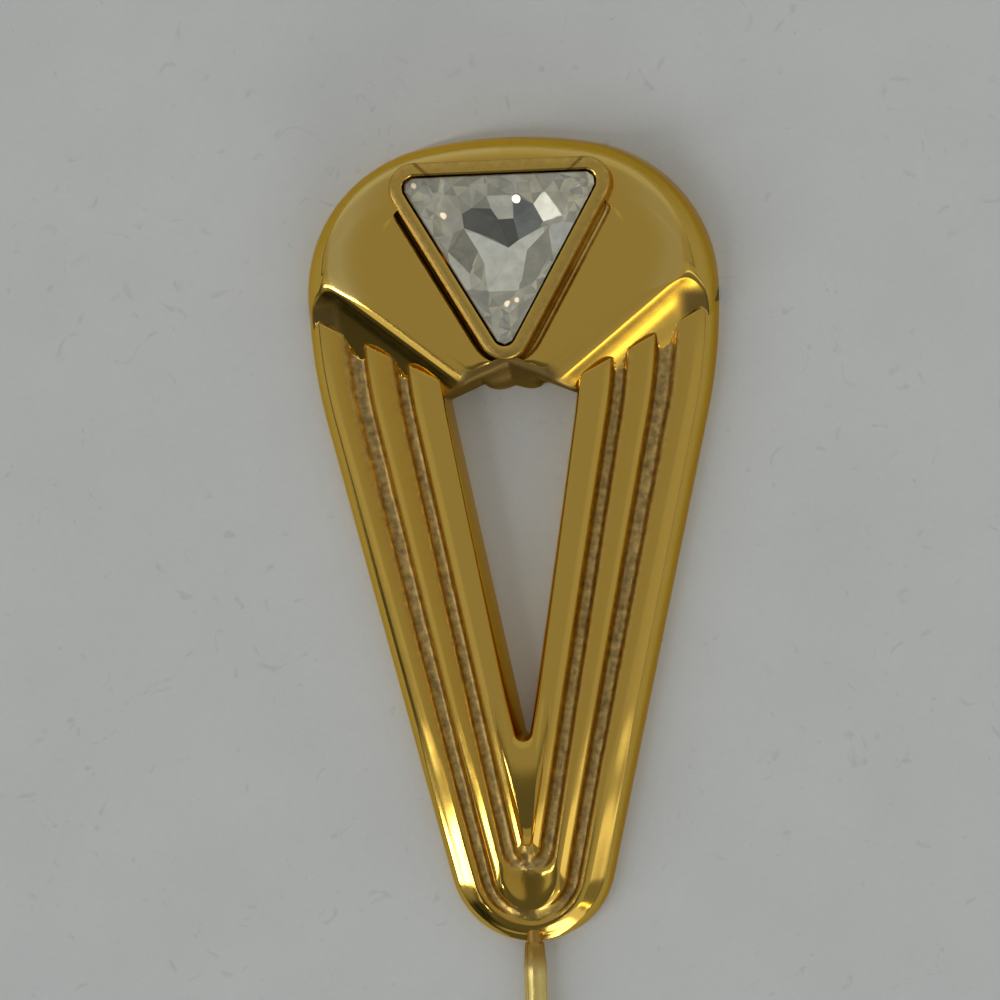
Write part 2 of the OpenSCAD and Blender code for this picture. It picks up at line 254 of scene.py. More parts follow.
# The crown, the two lobes and the setting, which belong to the same casting. The lobes roll over
# a polished lip and fall steeply into the hollow above the ridges. A triangular cup stands
# between them, freed by a narrow channel on its two lower sides, and its rim is burnished over
# the stone.
PANEL_Z = 3.30
PANEL_EDGE_Z = 3.232
RIM_Z = 4.5
LOBE_SLOPE = math.radians(38.5)
lobe_in = np.array([2.3, HEAD_L - 12.07])
LOBE_IN_R = 0.5
LOBE_MID_Y = HEAD_L - 11.15
UNDER_SLOPE = 0.42
setting_c = np.array([0.0, HEAD_L - 4.9])
STONE_SIDE = 10.0
STONE_CORNER = 0.5
STONE_IN = STONE_SIDE / (2 * math.sqrt(3))
RIM_W = 0.72
CHANNEL_W = 0.46
SEAT_GAP = 0.04
TABLE_Z = RIM_Z - 0.1
GIRDLE_Z = TABLE_Z - 0.75
POINT_Z = 0.95


def arc(c, r, a, b, n):
    """Points on an arc, by bearings that run clockwise from +Y."""
    t = np.linspace(a, b, n + 1)
    return np.column_stack([c[0] + r * np.sin(t), c[1] + r * np.cos(t)])


def bearing(v):
    return math.atan2(v[0], v[1])


def dome_ring(d, e, g, nub, out_r):
    """The dome's plan at one height: d inside the outline, e outside the lobes' lip, g below.

    A small nub hangs down between the lobes, and the outer corner under each lobe is an arc of
    radius out_r.
    """
    edge_n = np.array([math.sin(LOBE_SLOPE), -math.cos(LOBE_SLOPE)])
    edge_v = np.array([math.cos(LOBE_SLOPE), math.sin(LOBE_SLOPE)])
    mid = np.array([0.0, LOBE_MID_Y - g])
    inner = lobe_in + e * edge_n
    inner = inner + edge_v * (mid[1] - UNDER_SLOPE * inner[0] - inner[1]) / (
        edge_v[1] + UNDER_SLOPE * edge_v[0])
    start = inner - out_r * edge_n - shoulder_c
    along = start @ edge_v
    far = (SHOULDER_R - 1.85 * d - out_r) ** 2 - start @ start + along ** 2
    out_c = start + shoulder_c + edge_v * (math.sqrt(far) - along)
    top_t = bearing(shoulder_c - crown_c)
    out_t = bearing(out_c - shoulder_c) % (2 * math.pi)
    edge_t = bearing(edge_n)
    mid_t = math.pi + math.atan(UNDER_SLOPE)
    half_t = (mid_t - edge_t) / 2
    in_c = inner - LOBE_IN_R / math.cos(half_t) * np.array(
        [math.sin(edge_t + half_t), math.cos(edge_t + half_t)])
    a = out_c + out_r * edge_n
    b = in_c + LOBE_IN_R * edge_n
    edge = a + (b - a) * np.linspace(0, 1, 42)[1:-1, None]
    inside = arc(in_c, LOBE_IN_R, edge_t, mid_t, 10)
    under = inside[-1] + (mid - inside[-1]) * np.linspace(0, 1, 21)[1:, None]
    under[:, 1] -= nub * np.sqrt(np.maximum(1 - (under[:, 0] / 1.35) ** 2, 0))
    t = np.linspace(0, 1, 71)
    shoulder = shoulder_c + (SHOULDER_R - d * (1 + 0.85 * t ** 4))[:, None] * (
        arc(np.zeros(2), 1.0, top_t, out_t, 70))
    half = np.vstack([
        arc(crown_c, CROWN_R - d, 0, top_t, 34),
        shoulder[1:],
        arc(out_c, out_r, out_t, edge_t, 24)[1:],
        edge, inside, under,
    ])
    other = half[-2:0:-1].copy()
    other[:, 0] *= -1
    return np.vstack([half, other])


# Counted round a ring from the crown, either way: the corner under a lobe, and the web's start
CORNER_FROM = 109
CORNER_TO = 125
WEB_FROM = 166


def triangle_reach(rays, o, corner=STONE_CORNER):
    """How far each ray from the stone's centre runs to a rounded triangle, o outside the stone."""
    r = max(0.05, corner + o)
    inner_r = STONE_IN - corner + min(0.0, corner + o - 0.05)
    points = np.vstack([
        arc(2 * inner_r * np.array([math.sin(t), math.cos(t)]), r,
            t - math.pi / 3, t + math.pi / 3, 24)
        for t in (math.pi / 3, math.pi, 5 * math.pi / 3)
    ])
    angles = np.arctan2(points[:, 0], points[:, 1]) % (2 * math.pi)
    order = np.argsort(angles)
    points, angles = points[order], angles[order]
    k = np.searchsorted(angles, np.arctan2(rays[:, 0], rays[:, 1]) % (2 * math.pi))
    a, b = points[k - 1], points[k % len(points)]
    side = b - a
    return (a[:, 0] * side[:, 1] - a[:, 1] * side[:, 0]) / (
        rays[:, 0] * side[:, 1] - rays[:, 1] * side[:, 0])


def level(plan, z):
    return np.column_stack([plan, np.broadcast_to(z, len(plan))])


# Down the wall: how far inside the outline at the crown, how far outside the lip at the lobes'
# lower edges and between the lobes, the radius of the outer corner, and the height
wall = rounded([
    [0.00, 3.74, 0.14, 0.75, 0.25, 0.00], [0.03, 3.32, 0.13, 0.75, 0.25, 0.45],
    [0.08, 2.58, 0.12, 0.75, 0.26, 1.18], [0.15, 1.86, 0.10, 0.72, 0.28, 1.67],
    [0.25, 1.16, 0.08, 0.55, 0.32, 2.11], [0.37, 0.72, 0.05, 0.30, 0.38, 2.41],
    [0.48, 0.36, 0.02, 0.12, 0.55, 2.71], [0.57, 0.11, -0.03, 0.04, 0.90, 2.935],
    [0.64, -0.02, -0.08, 0.00, 1.60, 3.04], [0.70, -0.11, -0.13, 0.00, 2.30, 3.095],
    [0.76, -0.20, -0.18, 0.00, 2.80, 3.135], [0.84, -0.30, -0.24, 0.00, 3.10, 3.17],
    [0.94, -0.42, -0.31, 0.00, 3.30, 3.195], [1.10, -0.58, -0.40, 0.00, 3.40, 3.215],
    [1.30, -0.78, -0.52, 0.00, 3.50, PANEL_EDGE_Z],
], 2)
rings = [level(dome_ring(*row[:5]), row[5]) for row in wall]
lip = rings[-1][:, :2]
rays = lip - setting_c
lip_r = np.linalg.norm(rays, axis=1)
rays = rays / lip_r[:, None]
# The channel runs along the two lower sides and fades out round the upper corners
cut = ease((np.degrees(np.arccos(np.clip(rays[:, 1], -1, 1))) - 62) / 12)
channel_r = np.minimum(triangle_reach(rays, RIM_W + CHANNEL_W, 0.75) * cut
                       + triangle_reach(rays, RIM_W + 0.03) * (1 - cut), lip_r - 0.02)
for t in np.linspace(0, 1, 19)[1:-1]:
    reach = lip_r + (channel_r - lip_r) * t
    z = PANEL_Z - (PANEL_Z - PANEL_EDGE_Z) * (1 - t) ** 3
    rings.append(level(setting_c + rays * reach[:, None], z))
cup_r = triangle_reach(rays, RIM_W + 0.03)
sunk = cut * (1 - 0.6 * ease((rays[:, 0] + 0.1) / 0.3))
channel_rings = range(len(rings) + 1, len(rings) + 11)
for share, depth in ((0.0, 0.0), (0.08, 0.02), (0.16, 0.08), (0.24, 0.24), (0.34, 0.32),
                     (0.46, 0.24), (0.60, 0.15), (0.70, 0.19), (0.82, 0.40), (1.0, 0.42)):
    reach = np.minimum(channel_r + (cup_r - channel_r) * share, lip_r - 0.02 - 0.01 * share)
    rings.append(level(setting_c + rays * reach[:, None], PANEL_Z - depth * sunk))
rim = [(RIM_W + 0.01, 3.70), (RIM_W, 4.10), (RIM_W - 0.01, 4.24), (RIM_W - 0.035, 4.32),
       (RIM_W - 0.075, 4.365), (RIM_W - 0.13, 4.39), (RIM_W - 0.20, 4.405), (0.20, 4.44),
       (0.13, 4.435), (0.09, 4.41), (0.07, 4.36), (0.06, 4.28), (0.05, 4.1)]
rim += [(SEAT_GAP, GIRDLE_Z + 0.12), (SEAT_GAP, GIRDLE_Z - SEAT_GAP),
        (1.35 - STONE_IN + 0.5, 2.18), (1.35 - STONE_IN + 0.4, POINT_Z - SEAT_GAP)]
for o, z in rim:
    rings.append(level(setting_c + rays * triangle_reach(rays, o)[:, None], z))
crown = skinned("crown", np.array(rings))

# How rough each point of the casting is, how much painted reflection its gilding gets, and how
# much painted shade. Painted reflection above nought is a warm orange; below nought it is a pale
# painted highlight, on the panels' rolled edge and along the channel's right arm.
places = kdtree.KDTree(sections.shape[0] * sections.shape[1] + len(rings) * len(rays))
finish_and_painted_light_points = []
for x, y, z, rough, painted_reflection, painted_shade in sections.reshape(-1, 6):
    places.insert((x, y, z), len(finish_and_painted_light_points))
    # Painted reflection: the orange is painted more strongly on the left half than on the right.
    finish_and_painted_light_points.append((rough, painted_reflection * (0.7 if x < 0 else 0.25), painted_shade))
for number, ring in enumerate(rings):
    for k, point in enumerate(ring):
        places.insert(point, len(finish_and_painted_light_points))
        round_to = min(k, len(ring) - k)
        if number in channel_rings:
            # Painted shade in the channel, full on the left arm and a quarter of it on the right;
            # the right arm's upper part gets pale painted sparkle highlights instead.
            deep = cut[k] * (0.9 if number - channel_rings[0] in (2, 3, 4, 8, 9) else 0.3)
            painted_sparkle = float(ease((point[1] - HEAD_L + 7.2) / 1.6)) * cut[k]
            finish_and_painted_light_points.append((0.3, 0.0, deep) if point[0] < 0 else
                          (0.5 * cut[k], -0.8 * painted_sparkle, 0.25 * deep * (1 - painted_sparkle)))
        elif number > channel_rings[-1]:
            edge = number - channel_rings[-1] <= 6
            # Painted shade: the rim's outer wall and top on the two lower sides, most on the left.
            painted_light = 0.5 * float(ease(0.5 - point[0] / 2)) * cut[k] if edge else 0.0
            finish_and_painted_light_points.append((0.40 if edge else 0.12, 0.0, painted_light))
        elif number < len(wall) and round_to > WEB_FROM:
            # Painted shade: the web between the lobes is darkened.
            web = float(ease((round_to - WEB_FROM) / 9))
            finish_and_painted_light_points.append((0.5 * web, 0.0, 0.85 * web))
        elif number < len(wall) and round_to >= CORNER_FROM and point[2] < 3.03:
            # Painted shade in the hollow under each lobe's outer corner.
            end = ease((abs(point[0]) - 7.9) / 0.8) * ease((HEAD_L - 7.5 - point[1]) / 0.6)
            finish_and_painted_light_points.append((0.0, 0.0, float(end * ease((round_to - CORNER_FROM) / 7))))
        elif number < len(wall) and round_to < CORNER_TO and point[2] > 3.0:
            # Painted highlight: the panels' rolled edge is made pale, more on the left than on the
            # right.
            painted_light = float(ease((point[2] - 3.0) / 0.06) * ease((3.228 - point[2]) / 0.09))
            finish_and_painted_light_points.append((0.0, -0.6 * painted_light if point[0] < 0 else -0.35 * painted_light, 0.0))
        else:
            finish_and_painted_light_points.append((0.0, 0.0, 0.0))
places.balance()

joined = ridges.modifiers.new("casting", "BOOLEAN")
joined.operation = "UNION"
joined.solver = "MANIFOLD"
joined.object = crown
shape = bpy.data.meshes.new_from_object(
    ridges.evaluated_get(bpy.context.evaluated_depsgraph_get()))
for part in (ridges, crown):
    bpy.data.objects.remove(part)
shape.name = "casting"
shape.materials.clear()
for face in shape.polygons:
    face.use_smooth = True
shape.set_sharp_from_angle(angle=math.radians(40))
finish_and_painted_light = shape.attributes.new("finish_and_painted_light", "FLOAT_VECTOR", "POINT")
for point, mark in zip(shape.vertices, finish_and_painted_light.data):
    place = Vector((point.co.x, point.co.y - TIP_Y * MM, point.co.z)) / MM
    found, index, far = places.find(place)
    mark.vector = finish_and_painted_light_points[index] if far < 0.12 else (0.0, 0.0, 0.0)
casting = bpy.data.objects.new("casting", shape)
bpy.context.collection.objects.link(casting)


class Mark:
    """One value, colour or vector on its way through a material, with sums written as sums."""

    def __init__(self, tree, socket=None):
        self.tree, self.socket = tree, socket

    def add(self, kind, settings=None, inputs=None, out=0):
        node = self.tree.nodes.new(kind)
        for name, value in (settings or {}).items():
            setattr(node, name, value)
        for name, value in (inputs or {}).items():
            if isinstance(value, Mark):
                self.tree.links.new(value.socket, node.inputs[name])
            else:
                node.inputs[name].default_value = value
        return Mark(self.tree, node.outputs[out])

    def sum(self, operation, a, b):
        return self.add("ShaderNodeMath", {"operation": operation}, {0: a, 1: b})

    def __add__(self, other):
        return self.sum("ADD", self, other)

    def __radd__(self, other):
        return self.sum("ADD", other, self)

    def __sub__(self, other):
        return self.sum("SUBTRACT", self, other)

    def __rsub__(self, other):
        return self.sum("SUBTRACT", other, self)

    def __mul__(self, other):
        return self.sum("MULTIPLY", self, other)

    def __rmul__(self, other):
        return self.sum("MULTIPLY", other, self)


def mixed(a, b, share):
    """A colour that runs from a to b."""
    return share.add("ShaderNodeMix", {"data_type": "RGBA"}, {0: share, 6: a, 7: b}, out=2)


gilt = bpy.data.materials.new("gilt")
gilt.use_nodes = True
gilt_shader = gilt.node_tree.nodes["Principled BSDF"]
gilt_shader.inputs["Metallic"].default_value = 1.0
gilt_shader.inputs["Specular Tint"].default_value = (0.95, 0.75, 0.35, 1)
metal = Mark(gilt.node_tree)
spot = metal.add("ShaderNodeTexCoord", out="Object")
finish_and_light_here = metal.add("ShaderNodeAttribute", {"attribute_name": "finish_and_painted_light"}, out="Vector")
rough, painted_reflection, painted_shade = (
    metal.add("ShaderNodeSeparateXYZ", inputs={0: finish_and_light_here}, out=i) for i in range(3))


def noise(scale, detail=2.0):
    return metal.add("ShaderNodeTexNoise", inputs={
        "Vector": spot, "Scale": scale, "Detail": detail, "Roughness": 0.55}, out=0)


blotch = noise(700.0)
grain = noise(3000.0)
fine = noise(20000.0, 1.0)
gold = mixed((0.77, 0.505, 0.100, 1), (0.75, 0.485, 0.088, 1), blotch)
# Painted orange reflection along the grooves' edges.
gold = mixed(gold, (0.75, 0.40, 0.030, 1), painted_reflection * (0.35 + 0.8 * blotch))
# Painted highlight: pale gilding where the painted reflection is below nought.
gold = mixed(gold, (0.95, 0.74, 0.27, 1), 0.0 - painted_reflection)
dull = mixed((0.28, 0.19, 0.075, 1), (0.66, 0.46, 0.16, 1), (grain - 0.3) * 2.4)
gold = mixed(gold, dull, rough)
# Painted shade: the gilding darkens to a blackish brown wherever painted shade is set.
gold = mixed(gold, (0.12, 0.08, 0.030, 1), painted_shade * 0.92)
gloss = 0.085 + 0.05 * blotch + 0.36 * rough + 0.26 * painted_shade
height = 0.0000022 * blotch + 0.0000006 * fine + 0.000016 * (grain * rough)
relief = height.add("ShaderNodeBump", inputs={"Strength": 1.0, "Distance": 1.0, "Height": height})
for socket, value in (("Base Color", gold), ("Roughness", gloss), ("Normal", relief)):
    gilt.node_tree.links.new(value.socket, gilt_shader.inputs[socket])
casting.data.materials.append(gilt)
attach(casting, "root")
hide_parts("head")

# The stem: brass wire, drawn, gilt and soldered into the head's tip, with a ground point. The
# solder left a slight swelling just below the head.
STEM_R = 0.525
STEM_Z = 0.8
profile = rounded([
    [-45.0, 0.05], [-44.93, 0.08], [-44.8, 0.12], [-42.4, 0.33], [-40.4, 0.48], [-39.6, STEM_R],
    [-38.0, STEM_R], [-20.0, STEM_R], [-2.0, STEM_R], [-1.6, 0.53], [-1.3, 0.545],
    [-1.1, 0.545], [-0.95, 0.52], [-0.8, 0.50], [-0.3, 0.49], [-0.06, 0.45], [0.06, 0.36],
    [3.96, 0.35]], 1)
stem_rings = []
for y, r in profile:
    a = np.linspace(0, 2 * math.pi, 49)[:-1]
    stem_rings.append(np.column_stack([r * np.cos(a), np.full(48, y), STEM_Z + r * np.sin(a)]))
stem = skinned("stem", np.array(stem_rings))
for face in stem.data.polygons:
    face.use_smooth = True
stem.data.set_sharp_from_angle(angle=math.radians(35))
wire = bpy.data.materials.new("gilt wire")
wire.use_nodes = True
wire_shader = wire.node_tree.nodes["Principled BSDF"]
wire_shader.inputs["Metallic"].default_value = 1.0
wire_shader.inputs["Specular Tint"].default_value = (0.95, 0.75, 0.35, 1)
metal = Mark(wire.node_tree)
spot = metal.add("ShaderNodeTexCoord", out="Object")
x, y, z = (metal.add("ShaderNodeSeparateXYZ", inputs={0: spot}, out=i) for i in range(3))
along = metal.add("ShaderNodeCombineXYZ", inputs={0: x * 30.0, 1: y, 2: z * 30.0})
draw = metal.add("ShaderNodeTexNoise", inputs={"Vector": along, "Scale": 500.0, "Detail": 3.0})
patch = metal.add("ShaderNodeTexNoise", inputs={"Vector": spot, "Scale": 900.0, "Detail": 2.0})
gold = mixed((0.90, 0.66, 0.16, 1), (0.98, 0.82, 0.36, 1), patch)
# Painted shadow: the wire is darkened to brown just below the head, where the head shades it.
painted_head_shadow = y.add("ShaderNodeMapRange", inputs={0: y, 1: 0.0014, 2: 0.0024, 3: 0.0, 4: 0.85})
gold = mixed(gold, (0.42, 0.21, 0.03, 1), painted_head_shadow)
height = 0.0000012 * draw
relief = height.add("ShaderNodeBump", inputs={"Strength": 1.0, "Distance": 1.0, "Height": height})
for socket, value in (("Base Color", gold), ("Roughness", 0.20 + 0.14 * draw),
                      ("Normal", relief)):
    wire.node_tree.links.new(value.socket, wire_shader.inputs[socket])
stem.data.materials.append(wire)
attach(stem, "root")
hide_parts("pin_stem")

# The stone: one cut crystal, a triangle with softened corners. It has a flat table, a low crown
# and a deep faceted back, with a silver foil on that back which is what makes it so bright.
bearings = np.radians(sorted(
    [*range(0, 360, 15)] + [c + k for c in (60, 180, 300) for k in (-8, -4, 4, 8)]))
rays = np.column_stack([np.sin(bearings), np.cos(bearings)])
count = len(rays)
girdle = rays * triangle_reach(rays, -0.03)[:, None]
table = rays * triangle_reach(rays, -0.95, 1.05)[:, None]

# The back's larger facets, seen from the front and measured from the stone's centre, with the
# brightness and blue of the reflection painted into the foil in each
FACETS = [
    ([(-0.79, 1.94), (0.48, 1.94), (0.42, 0.84), (-0.34, 0.82), (-0.62, 1.34)], 0.80, 0.0),
    ([(-2.05, 1.13), (-1.57, 1.40), (-0.62, 1.34), (-0.34, 0.82), (0.08, -0.55), (-0.72, -0.06),
      (-1.95, 0.44)], 0.15, 0.1),
    ([(-0.34, 0.82), (0.42, 0.84), (0.62, -0.20), (0.08, -0.55)], 0.10, 0.0),
    ([(0.42, 0.84), (0.48, 1.94), (1.44, 1.47), (1.86, 0.64), (1.72, 0.34), (0.62, -0.20)],
     0.24, 0.6),
    ([(-1.85, 0.24), (-1.40, 0.20), (0.08, -0.55), (-0.02, -1.42), (-1.02, -1.30),
      (-1.30, -0.70)], 0.98, 0.1),
    ([(0.08, -0.55), (0.62, -0.20), (1.90, 0.38), (1.92, 0.10), (1.04, -0.72), (0.93, -1.34),
      (-0.02, -1.42)], 0.92, 0.0),
    ([(-1.02, -1.30), (0.93, -1.34), (0.70, -2.66), (-0.88, -2.66)], 0.88, 0.0),
    ([(-2.70, -0.72), (-2.12, -1.34), (-1.72, -1.82), (-1.62, -2.55), (-2.00, -2.70),
      (-2.46, -1.82)], 0.78, 0.0),
    ([(3.05, 0.50), (2.20, 0.40), (2.40, -0.90), (2.75, -1.00), (3.55, 0.45)], 0.72, 0.3),
    ([(-1.95, 0.44), (-1.85, 0.24), (-1.30, -0.70), (-1.72, -1.82), (-2.12, -1.34),
      (-2.70, -0.72)], 0.34, -0.5),
    ([(1.04, -0.72), (1.92, 0.10), (2.20, 0.40), (2.40, -0.90), (1.60, -2.20), (0.70, -2.66),
      (0.93, -1.34)], 0.40, -0.4),
]
chance = np.random.default_rng(11)
spots = [tuple(p) for p in girdle]
edges = [(i, (i + 1) % count) for i in range(count)]
for corners, painted_brightness, blue in FACETS:
    first = len(spots)
    spots += corners
    edges += [(first + i, first + (i + 1) % len(corners)) for i in range(len(corners))]
for around, share in ((girdle * 0.93, 0.10), (girdle * 0.86, 0.16), (girdle * 0.76, 0.22)):
    for i in range(count):
        spots.append(tuple(around[i] + chance.uniform(-share, share, 2)))
plan, _, pieces, _, _, _ = geometry.delaunay_2d_cdt(
    [Vector(p) for p in spots], edges, [list(range(count))], 1, 1e-4)


def inside(point, corners):
    hit = False
    for (ax, ay), (bx, by) in zip(corners, corners[1:] + corners[:1]):
        if (ay > point[1]) != (by > point[1]) and (
                point[0] < ax + (point[1] - ay) / (by - ay) * (bx - ax)):
            hit = not hit
    return hit


points, faces, painted_facet_tones = [], [], []
for v in plan:
    reach = triangle_reach(np.array([[v.x, v.y]]) / (v.length + 1e-9), -0.03)[0]
    out = min(1.0, v.length / reach)
    deep = 4.06 - 1.3 * (1 - out) ** 0.8
    points.append([v.x, v.y, deep if out > 0.995 else deep + chance.uniform(-0.05, 0.05)])
# A piece that lies outside the girdle, where a large facet's corner passes it, is left out
girdle_line = [tuple(p) for p in girdle]
kept = []
for piece in pieces:
    centre = np.mean([points[i][:2] for i in piece], axis=0)
    # Painted reflection: a piece outside the large facets gets a random painted brightness and
    # blue.
    painted_brightness, blue = chance.uniform(0.40, 0.72), chance.uniform(-0.7, 0.0)
    for corners, its_painted_brightness, its_blue in FACETS:
        if inside(centre, corners):
            painted_brightness, blue = its_painted_brightness * chance.uniform(0.93, 1.07), its_blue
            break
    if inside(centre, girdle_line):
        kept.append(piece)
        faces.append(list(piece)[::-1])
        painted_facet_tones.append((painted_brightness, blue))
# The facets' free sides run anticlockwise round the girdle, in one or more steps to each side
used = {(a, b) for piece in kept for a, b in zip(piece, [*piece[1:], piece[0]])}
onward = {a: b for a, b in used if (b, a) not in used}
border = {}
for i in onward:
    for k in range(count):
        if (plan[i] - Vector(girdle[k])).length < 1e-5:
            border[k] = i
upper = len(points)
points += [[*p, 4.27] for p in girdle] + [[*p, 4.42] for p in table]
for i in range(count):
    k = (i + 1) % count
    steps = [border[k]]
    while steps[-1] != border[i]:
        steps.append(onward[steps[-1]])
    faces.append([*steps[::-1], upper + k, upper + i])
    if i % 2:
        faces += [[upper + i, upper + k, upper + count + i],
                  [upper + k, upper + count + k, upper + count + i]]
    else:
        faces += [[upper + i, upper + k, upper + count + k],
                  [upper + i, upper + count + k, upper + count + i]]
faces.append([upper + count + i for i in range(count)])
gem = bpy.data.meshes.new("crystal")
gem.from_pydata([[x * MM, (y + setting_c[1] + TIP_Y) * MM, z * MM] for x, y, z in points],
                [], faces)
foil_tone = gem.attributes.new("foil", "FLOAT_VECTOR", "FACE")
for number, (face, mark) in enumerate(zip(gem.polygons, foil_tone.data)):
    behind = number < len(painted_facet_tones)
    mark.vector = (*painted_facet_tones[number], 0.0) if behind else (0.0, 0.0, 0.0)
    face.material_index = 1 if behind else 0
crystal = bpy.data.objects.new("crystal", gem)
bpy.context.collection.objects.link(crystal)
glass = bpy.data.materials.new("glass")
glass.use_nodes = True
glass_shader = glass.node_tree.nodes["Principled BSDF"]
glass_shader.inputs["Base Color"].default_value = (0.97, 0.98, 0.97, 1)
glass_shader.inputs["IOR"].default_value = 1.56
glass_shader.inputs["Transmission Weight"].default_value = 1.0
clear = Mark(glass.node_tree)
spot = clear.add("ShaderNodeTexCoord", out="Object")
haze = clear.add("ShaderNodeTexNoise", inputs={"Vector": spot, "Scale": 1500.0, "Detail": 3.0})
smear = (haze - 0.45) * 0.10
glass.node_tree.links.new(smear.socket, glass_shader.inputs["Roughness"])
foil = bpy.data.materials.new("foil")
foil.use_nodes = True
foil_shader = foil.node_tree.nodes["Principled BSDF"]
foil_shader.inputs["Metallic"].default_value = 0.4
behind = Mark(foil.node_tree)
spot = behind.add("ShaderNodeTexCoord", out="Object")
tone = behind.add("ShaderNodeAttribute", {"attribute_name": "foil"}, out="Vector")
painted_brightness, blue = (behind.add("ShaderNodeSeparateXYZ", inputs={0: tone}, out=i) for i in range(2))
crumple = behind.add("ShaderNodeTexNoise", inputs={"Vector": spot, "Scale": 1400.0,
                                                   "Detail": 4.0, "Roughness": 0.6})
# The foil's colour carries each facet's painted reflection.
level_here = painted_brightness * (0.72 + 0.80 * crumple)
foil_colour = behind.add("ShaderNodeCombineXYZ", inputs={
    0: level_here * (0.98 - 0.10 * blue), 1: level_here * (0.975 - 0.02 * blue),
    2: level_here * (0.84 + 0.16 * blue)})
# Painted glints, made to glow in the foil: the place from the stone's centre, how wide in mm and
# how bright
painted_glints = 0.0
for (u, v), size, light in (((0.64, 1.74), 0.22, 3.0), ((-2.92, 1.05), 0.20, 0.8),
                            ((0.06, -3.28), 0.18, 0.8), ((0.60, -3.15), 0.14, 0.7),
                            ((-4.2, 2.55), 0.14, 0.5), ((4.3, 1.5), 0.20, 0.35)):
    place = (u * MM, (v + setting_c[1] + TIP_Y) * MM, 0.0)
    flat = spot.add("ShaderNodeVectorMath", {"operation": "MULTIPLY"},
                    {0: spot, 1: (1.0, 1.0, 0.0)})
    far = spot.add("ShaderNodeVectorMath", {"operation": "DISTANCE"}, {0: flat, 1: place}, out=1)
    painted_glint = far.add("ShaderNodeMapRange", {"interpolation_type": "SMOOTHSTEP"},
                    {0: far, 1: 0.7 * size * MM, 2: size * MM, 3: light, 4: 0.0})
    painted_glints = painted_glint + painted_glints
painted_glint_glow = behind.add("ShaderNodeVectorMath", {"operation": "SCALE"},
                  {0: (1.0, 0.74, 0.50), 3: painted_glints})
foil_shader.inputs["Emission Strength"].default_value = 1.0
foil.node_tree.links.new(painted_glint_glow.socket, foil_shader.inputs["Emission Color"])
crease = behind.add("ShaderNodeBump", inputs={
    "Strength": 1.0, "Distance": 1.0, "Height": 0.00002 * crumple})
for socket, value in (("Base Color", foil_colour), ("Roughness", 0.22 + 0.2 * crumple),
                      ("Normal", crease)):
    foil.node_tree.links.new(value.socket, foil_shader.inputs[socket])
gem.materials.append(glass)
gem.materials.append(foil)
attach(crystal, "root")
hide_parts("stone")

# The surface is a sheet of pale grey paper, flat, a little cloudy and fibrous, with a few faint
# marks. It is made plainly, as a fine flat grid, and the pin lies on it.
across = np.linspace(-0.6, 0.6, 41)
sheet = [[x, y + 0.03, 0.0] for y in across for x in across]
paper_mesh = bpy.data.meshes.new("paper")
paper_mesh.from_pydata(sheet, [], [
    [i * 41 + k, i * 41 + k + 1, i * 41 + k + 42, i * 41 + k + 41]
    for i in range(40) for k in range(40)])
paper = bpy.data.objects.new("paper", paper_mesh)
bpy.context.collection.objects.link(paper)
paper_look = bpy.data.materials.new("paper")
paper_look.use_nodes = True
paper_shader = paper_look.node_tree.nodes["Principled BSDF"]
pulp = Mark(paper_look.node_tree)
spot = pulp.add("ShaderNodeTexCoord", out="Object")
cloud = pulp.add("ShaderNodeTexNoise", inputs={"Vector": spot, "Scale": 160.0, "Detail": 2.0})
fibre = pulp.add("ShaderNodeTexNoise", inputs={
    "Vector": spot, "Scale": 2200.0, "Detail": 3.0, "Distortion": 1.5})
mark = pulp.add("ShaderNodeTexNoise", inputs={
    "Vector": spot, "Scale": 420.0, "Detail": 2.0, "Distortion": 3.0})
faint = mark.add("ShaderNodeMapRange", inputs={0: mark, 1: 0.66, 2: 0.74, 3: 0.0, 4: 1.0})
shade = 0.94 + 0.10 * cloud + 0.06 * (fibre - 0.5) - 0.10 * faint
tint = pulp.add("ShaderNodeVectorMath", {"operation": "SCALE"},
                {0: (0.735, 0.757, 0.746), 3: shade})
tooth = pulp.add("ShaderNodeBump", inputs={
    "Strength": 0.6, "Distance": 1.0, "Height": 0.00003 * fibre})
for socket, value in (("Base Color", tint), ("Roughness", 0.80 + 0.12 * fibre),
                      ("Normal", tooth)):
    paper_look.node_tree.links.new(value.socket, paper_shader.inputs[socket])
paper_mesh.materials.append(paper_look)

# The room that the gilding mirrors: soft pale walls, dark on the side of the pin's tip, and a few
# bright panes. A direction's x, y and z say where on the room it points.
scene = bpy.context.scene
scene.view_settings.view_transform = "Standard"
world = bpy.data.worlds.new("room")
world.use_nodes = True
scene.world = world
room = Mark(world.node_tree)
way = room.add("ShaderNodeTexCoord", out="Generated")
x, y, z = (room.add("ShaderNodeSeparateXYZ", inputs={0: way}, out=i) for i in range(3))


def smooth(value, low, high):
    """0 below low, 1 above high and an even rise between them."""
    return room.add("ShaderNodeMapRange", {"interpolation_type": "SMOOTHSTEP"},
                    {0: value, 1: low, 2: high, 3: 0.0, 4: 1.0})


def pane(low_x, high_x, low_y, high_y, soft, light, lean=0.0):
    """A bright window or lamp in the upper half of the room, by the directions it fills."""
    level_y = y - lean * x
    inside = (smooth(x, low_x - soft, low_x + soft) * smooth(high_x - x, -soft, soft)
              * smooth(level_y, low_y - soft, low_y + soft)
              * smooth(high_y - level_y, -soft, soft))
    return inside * smooth(z, 0.0, 0.02) * light


